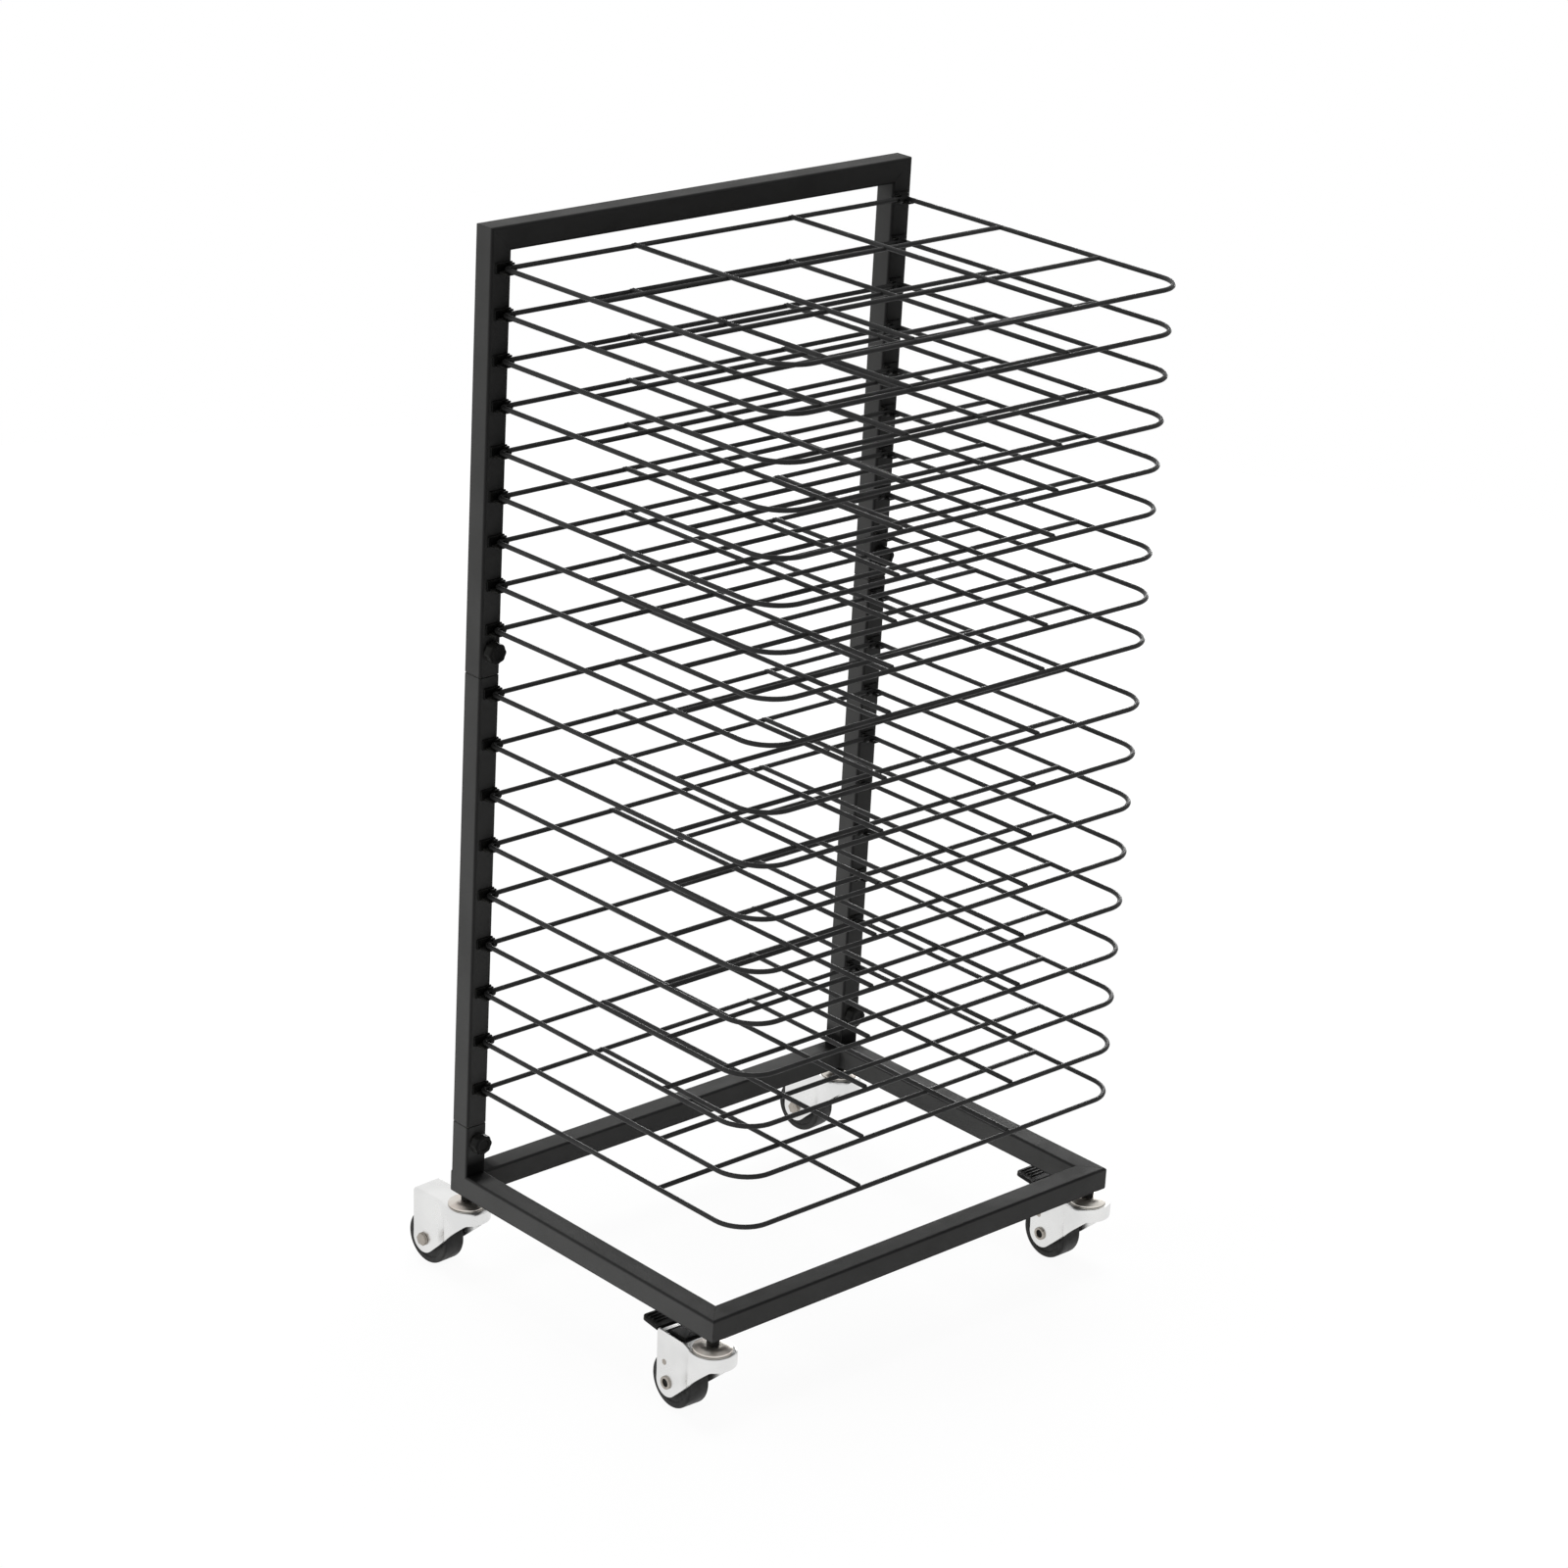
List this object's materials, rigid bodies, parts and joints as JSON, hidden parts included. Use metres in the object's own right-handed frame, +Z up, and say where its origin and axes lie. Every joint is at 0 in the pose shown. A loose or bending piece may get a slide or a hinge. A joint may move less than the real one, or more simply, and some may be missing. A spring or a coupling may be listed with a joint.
{
  "type": "art drying rack",
  "caption": "Tall black wheeled rack with a square-tube back frame and a stack of hinged wire shelves that hold wet artwork flat while it dries.",
  "frame": {"origin": "on the floor, below the centre of the base frame", "axes": "+Z up, +X from the left post to the right post, -Y towards the free front edge of the shelves"},
  "size_m": [0.5794, 0.491, 1.1238],
  "materials": {
    "powder_coat": "satin black powder coat",
    "coated_wire": "satin black coated wire",
    "zinc_steel": "zinc-plated steel",
    "black_plastic": "moulded black plastic",
    "chrome": "bright plated pressed steel",
    "brass_ring": "yellow-passivated steel",
    "wheel_rubber": "smooth black rubber"
  },
  "bodies": {
    "rack": {"base_front_rail": "powder_coat", "base_rear_rail": "powder_coat", "base_left_rail": "powder_coat", "base_right_rail": "powder_coat", "left_post_socket": "powder_coat", "right_post_socket": "powder_coat", "left_lower_post": "powder_coat", "right_lower_post": "powder_coat", "left_upper_post": "powder_coat", "right_upper_post": "powder_coat", "top_rail": "powder_coat", "left_foot_sleeve": "zinc_steel", "right_foot_sleeve": "zinc_steel", "left_mid_sleeve": "zinc_steel", "right_mid_sleeve": "zinc_steel", "front_left_caster_stem": "black_plastic", "front_right_caster_stem": "black_plastic", "rear_left_caster_stem": "black_plastic", "rear_right_caster_stem": "black_plastic"},
    "shelf_01": {"shelf_01": "coated_wire"},
    "shelf_02": {"shelf_02": "coated_wire"},
    "shelf_03": {"shelf_03": "coated_wire"},
    "shelf_04": {"shelf_04": "coated_wire"},
    "shelf_05": {"shelf_05": "coated_wire"},
    "shelf_06": {"shelf_06": "coated_wire"},
    "shelf_07": {"shelf_07": "coated_wire"},
    "shelf_08": {"shelf_08": "coated_wire"},
    "shelf_09": {"shelf_09": "coated_wire"},
    "shelf_10": {"shelf_10": "coated_wire"},
    "shelf_11": {"shelf_11": "coated_wire"},
    "shelf_12": {"shelf_12": "coated_wire"},
    "shelf_13": {"shelf_13": "coated_wire"},
    "shelf_14": {"shelf_14": "coated_wire"},
    "shelf_15": {"shelf_15": "coated_wire"},
    "shelf_16": {"shelf_16": "coated_wire"},
    "shelf_17": {"shelf_17": "coated_wire"},
    "shelf_18": {"shelf_18": "coated_wire"},
    "left_mid_knob": {"left_mid_knob": "black_plastic"},
    "right_mid_knob": {"right_mid_knob": "black_plastic"},
    "left_foot_knob": {"left_foot_knob": "black_plastic"},
    "right_foot_knob": {"right_foot_knob": "black_plastic"},
    "front_left_swivel": {"front_left_caster_ring": "brass_ring", "front_left_caster_fork": "chrome", "front_left_caster_axle": "zinc_steel"},
    "front_left_wheel": {"front_left_caster_wheel": "wheel_rubber"},
    "front_left_pedal": {"front_left_caster_pedal": "black_plastic"},
    "front_right_swivel": {"front_right_caster_ring": "brass_ring", "front_right_caster_fork": "chrome", "front_right_caster_axle": "zinc_steel"},
    "front_right_wheel": {"front_right_caster_wheel": "wheel_rubber"},
    "front_right_pedal": {"front_right_caster_pedal": "black_plastic"},
    "rear_left_swivel": {"rear_left_caster_ring": "brass_ring", "rear_left_caster_fork": "chrome", "rear_left_caster_axle": "zinc_steel"},
    "rear_left_wheel": {"rear_left_caster_wheel": "wheel_rubber"},
    "rear_right_swivel": {"rear_right_caster_ring": "brass_ring", "rear_right_caster_fork": "chrome", "rear_right_caster_axle": "zinc_steel"},
    "rear_right_wheel": {"rear_right_caster_wheel": "wheel_rubber"}
  },
  "joints": [
    {"name": "shelf_01_flip", "type": "hinge", "parent": "rack", "child": "shelf_01", "pos_m": [0, 0.1742, 0.22], "axis": [-1, 0, 0], "range_deg": [0, 70]},
    {"name": "shelf_02_flip", "type": "hinge", "parent": "rack", "child": "shelf_02", "pos_m": [0, 0.1742, 0.274], "axis": [-1, 0, 0], "range_deg": [0, 70]},
    {"name": "shelf_03_flip", "type": "hinge", "parent": "rack", "child": "shelf_03", "pos_m": [0, 0.1742, 0.328], "axis": [-1, 0, 0], "range_deg": [0, 70]},
    {"name": "shelf_04_flip", "type": "hinge", "parent": "rack", "child": "shelf_04", "pos_m": [0, 0.1742, 0.382], "axis": [-1, 0, 0], "range_deg": [0, 70]},
    {"name": "shelf_05_flip", "type": "hinge", "parent": "rack", "child": "shelf_05", "pos_m": [0, 0.1742, 0.436], "axis": [-1, 0, 0], "range_deg": [0, 70]},
    {"name": "shelf_06_flip", "type": "hinge", "parent": "rack", "child": "shelf_06", "pos_m": [0, 0.1742, 0.49], "axis": [-1, 0, 0], "range_deg": [0, 70]},
    {"name": "shelf_07_flip", "type": "hinge", "parent": "rack", "child": "shelf_07", "pos_m": [0, 0.1742, 0.544], "axis": [-1, 0, 0], "range_deg": [0, 70]},
    {"name": "shelf_08_flip", "type": "hinge", "parent": "rack", "child": "shelf_08", "pos_m": [0, 0.1742, 0.598], "axis": [-1, 0, 0], "range_deg": [0, 70]},
    {"name": "shelf_09_flip", "type": "hinge", "parent": "rack", "child": "shelf_09", "pos_m": [0, 0.1742, 0.652], "axis": [-1, 0, 0], "range_deg": [0, 70]},
    {"name": "shelf_10_flip", "type": "hinge", "parent": "rack", "child": "shelf_10", "pos_m": [0, 0.1742, 0.719], "axis": [-1, 0, 0], "range_deg": [0, 70]},
    {"name": "shelf_11_flip", "type": "hinge", "parent": "rack", "child": "shelf_11", "pos_m": [0, 0.1742, 0.7646], "axis": [-1, 0, 0], "range_deg": [0, 70]},
    {"name": "shelf_12_flip", "type": "hinge", "parent": "rack", "child": "shelf_12", "pos_m": [0, 0.1742, 0.8102], "axis": [-1, 0, 0], "range_deg": [0, 70]},
    {"name": "shelf_13_flip", "type": "hinge", "parent": "rack", "child": "shelf_13", "pos_m": [0, 0.1742, 0.8558], "axis": [-1, 0, 0], "range_deg": [0, 70]},
    {"name": "shelf_14_flip", "type": "hinge", "parent": "rack", "child": "shelf_14", "pos_m": [0, 0.1742, 0.9014], "axis": [-1, 0, 0], "range_deg": [0, 70]},
    {"name": "shelf_15_flip", "type": "hinge", "parent": "rack", "child": "shelf_15", "pos_m": [0, 0.1742, 0.947], "axis": [-1, 0, 0], "range_deg": [0, 70]},
    {"name": "shelf_16_flip", "type": "hinge", "parent": "rack", "child": "shelf_16", "pos_m": [0, 0.1742, 0.9926], "axis": [-1, 0, 0], "range_deg": [0, 70]},
    {"name": "shelf_17_flip", "type": "hinge", "parent": "rack", "child": "shelf_17", "pos_m": [0, 0.1742, 1.0382], "axis": [-1, 0, 0], "range_deg": [0, 70]},
    {"name": "shelf_18_flip", "type": "hinge", "parent": "rack", "child": "shelf_18", "pos_m": [0, 0.1742, 1.0838], "axis": [-1, 0, 0], "range_deg": [0, 70]},
    {"name": "left_mid_knob_turn", "type": "hinge", "parent": "rack", "child": "left_mid_knob", "pos_m": [-0.2645, 0.1795, 0.696], "axis": [0, -1, 0], "continuous": true},
    {"name": "right_mid_knob_turn", "type": "hinge", "parent": "rack", "child": "right_mid_knob", "pos_m": [0.2645, 0.1795, 0.696], "axis": [0, -1, 0], "continuous": true},
    {"name": "left_foot_knob_turn", "type": "hinge", "parent": "rack", "child": "left_foot_knob", "pos_m": [-0.2645, 0.1795, 0.159], "axis": [0, -1, 0], "continuous": true},
    {"name": "right_foot_knob_turn", "type": "hinge", "parent": "rack", "child": "right_foot_knob", "pos_m": [0.2645, 0.1795, 0.159], "axis": [0, -1, 0], "continuous": true},
    {"name": "front_left_swivel_turn", "type": "hinge", "parent": "rack", "child": "front_left_swivel", "pos_m": [-0.2645, -0.192, 0.096], "axis": [0, 0, 1], "continuous": true},
    {"name": "front_left_wheel_roll", "type": "hinge", "parent": "front_left_swivel", "child": "front_left_wheel", "pos_m": [-0.26289, -0.14603, 0.029], "axis": [-0.9994, 0.0349, 0], "continuous": true},
    {"name": "front_left_pedal_press", "type": "hinge", "parent": "front_left_swivel", "child": "front_left_pedal", "pos_m": [-0.26255, -0.13603, 0.0713], "axis": [-0.9994, 0.0349, 0], "range_deg": [0, 12]},
    {"name": "front_right_swivel_turn", "type": "hinge", "parent": "rack", "child": "front_right_swivel", "pos_m": [0.2645, -0.192, 0.096], "axis": [0, 0, 1], "continuous": true},
    {"name": "front_right_wheel_roll", "type": "hinge", "parent": "front_right_swivel", "child": "front_right_wheel", "pos_m": [0.2645, -0.146, 0.029], "axis": [-1, 0, 0], "continuous": true},
    {"name": "front_right_pedal_press", "type": "hinge", "parent": "front_right_swivel", "child": "front_right_pedal", "pos_m": [0.2645, -0.136, 0.0713], "axis": [-1, 0, 0], "range_deg": [0, 12]},
    {"name": "rear_left_swivel_turn", "type": "hinge", "parent": "rack", "child": "rear_left_swivel", "pos_m": [-0.2645, 0.192, 0.096], "axis": [0, 0, 1], "continuous": true},
    {"name": "rear_left_wheel_roll", "type": "hinge", "parent": "rear_left_swivel", "child": "rear_left_wheel", "pos_m": [-0.26691, 0.23794, 0.029], "axis": [-0.9986, -0.0523, 0], "continuous": true},
    {"name": "rear_right_swivel_turn", "type": "hinge", "parent": "rack", "child": "rear_right_swivel", "pos_m": [0.2645, 0.192, 0.096], "axis": [0, 0, 1], "continuous": true},
    {"name": "rear_right_wheel_roll", "type": "hinge", "parent": "rear_right_swivel", "child": "rear_right_wheel", "pos_m": [0.26049, 0.23783, 0.029], "axis": [-0.9962, -0.0872, 0], "continuous": true}
  ],
  "couplings": [
    {"joint": "shelf_01_flip", "follows": "shelf_18_flip", "ratio": 1},
    {"joint": "shelf_02_flip", "follows": "shelf_18_flip", "ratio": 1},
    {"joint": "shelf_03_flip", "follows": "shelf_18_flip", "ratio": 1},
    {"joint": "shelf_04_flip", "follows": "shelf_18_flip", "ratio": 1},
    {"joint": "shelf_05_flip", "follows": "shelf_18_flip", "ratio": 1},
    {"joint": "shelf_06_flip", "follows": "shelf_18_flip", "ratio": 1},
    {"joint": "shelf_07_flip", "follows": "shelf_18_flip", "ratio": 1},
    {"joint": "shelf_08_flip", "follows": "shelf_18_flip", "ratio": 1},
    {"joint": "shelf_09_flip", "follows": "shelf_18_flip", "ratio": 1},
    {"joint": "shelf_10_flip", "follows": "shelf_18_flip", "ratio": 1},
    {"joint": "shelf_11_flip", "follows": "shelf_18_flip", "ratio": 1},
    {"joint": "shelf_12_flip", "follows": "shelf_18_flip", "ratio": 1},
    {"joint": "shelf_13_flip", "follows": "shelf_18_flip", "ratio": 1},
    {"joint": "shelf_14_flip", "follows": "shelf_18_flip", "ratio": 1},
    {"joint": "shelf_15_flip", "follows": "shelf_18_flip", "ratio": 1},
    {"joint": "shelf_16_flip", "follows": "shelf_18_flip", "ratio": 1},
    {"joint": "shelf_17_flip", "follows": "shelf_18_flip", "ratio": 1}
  ]
}
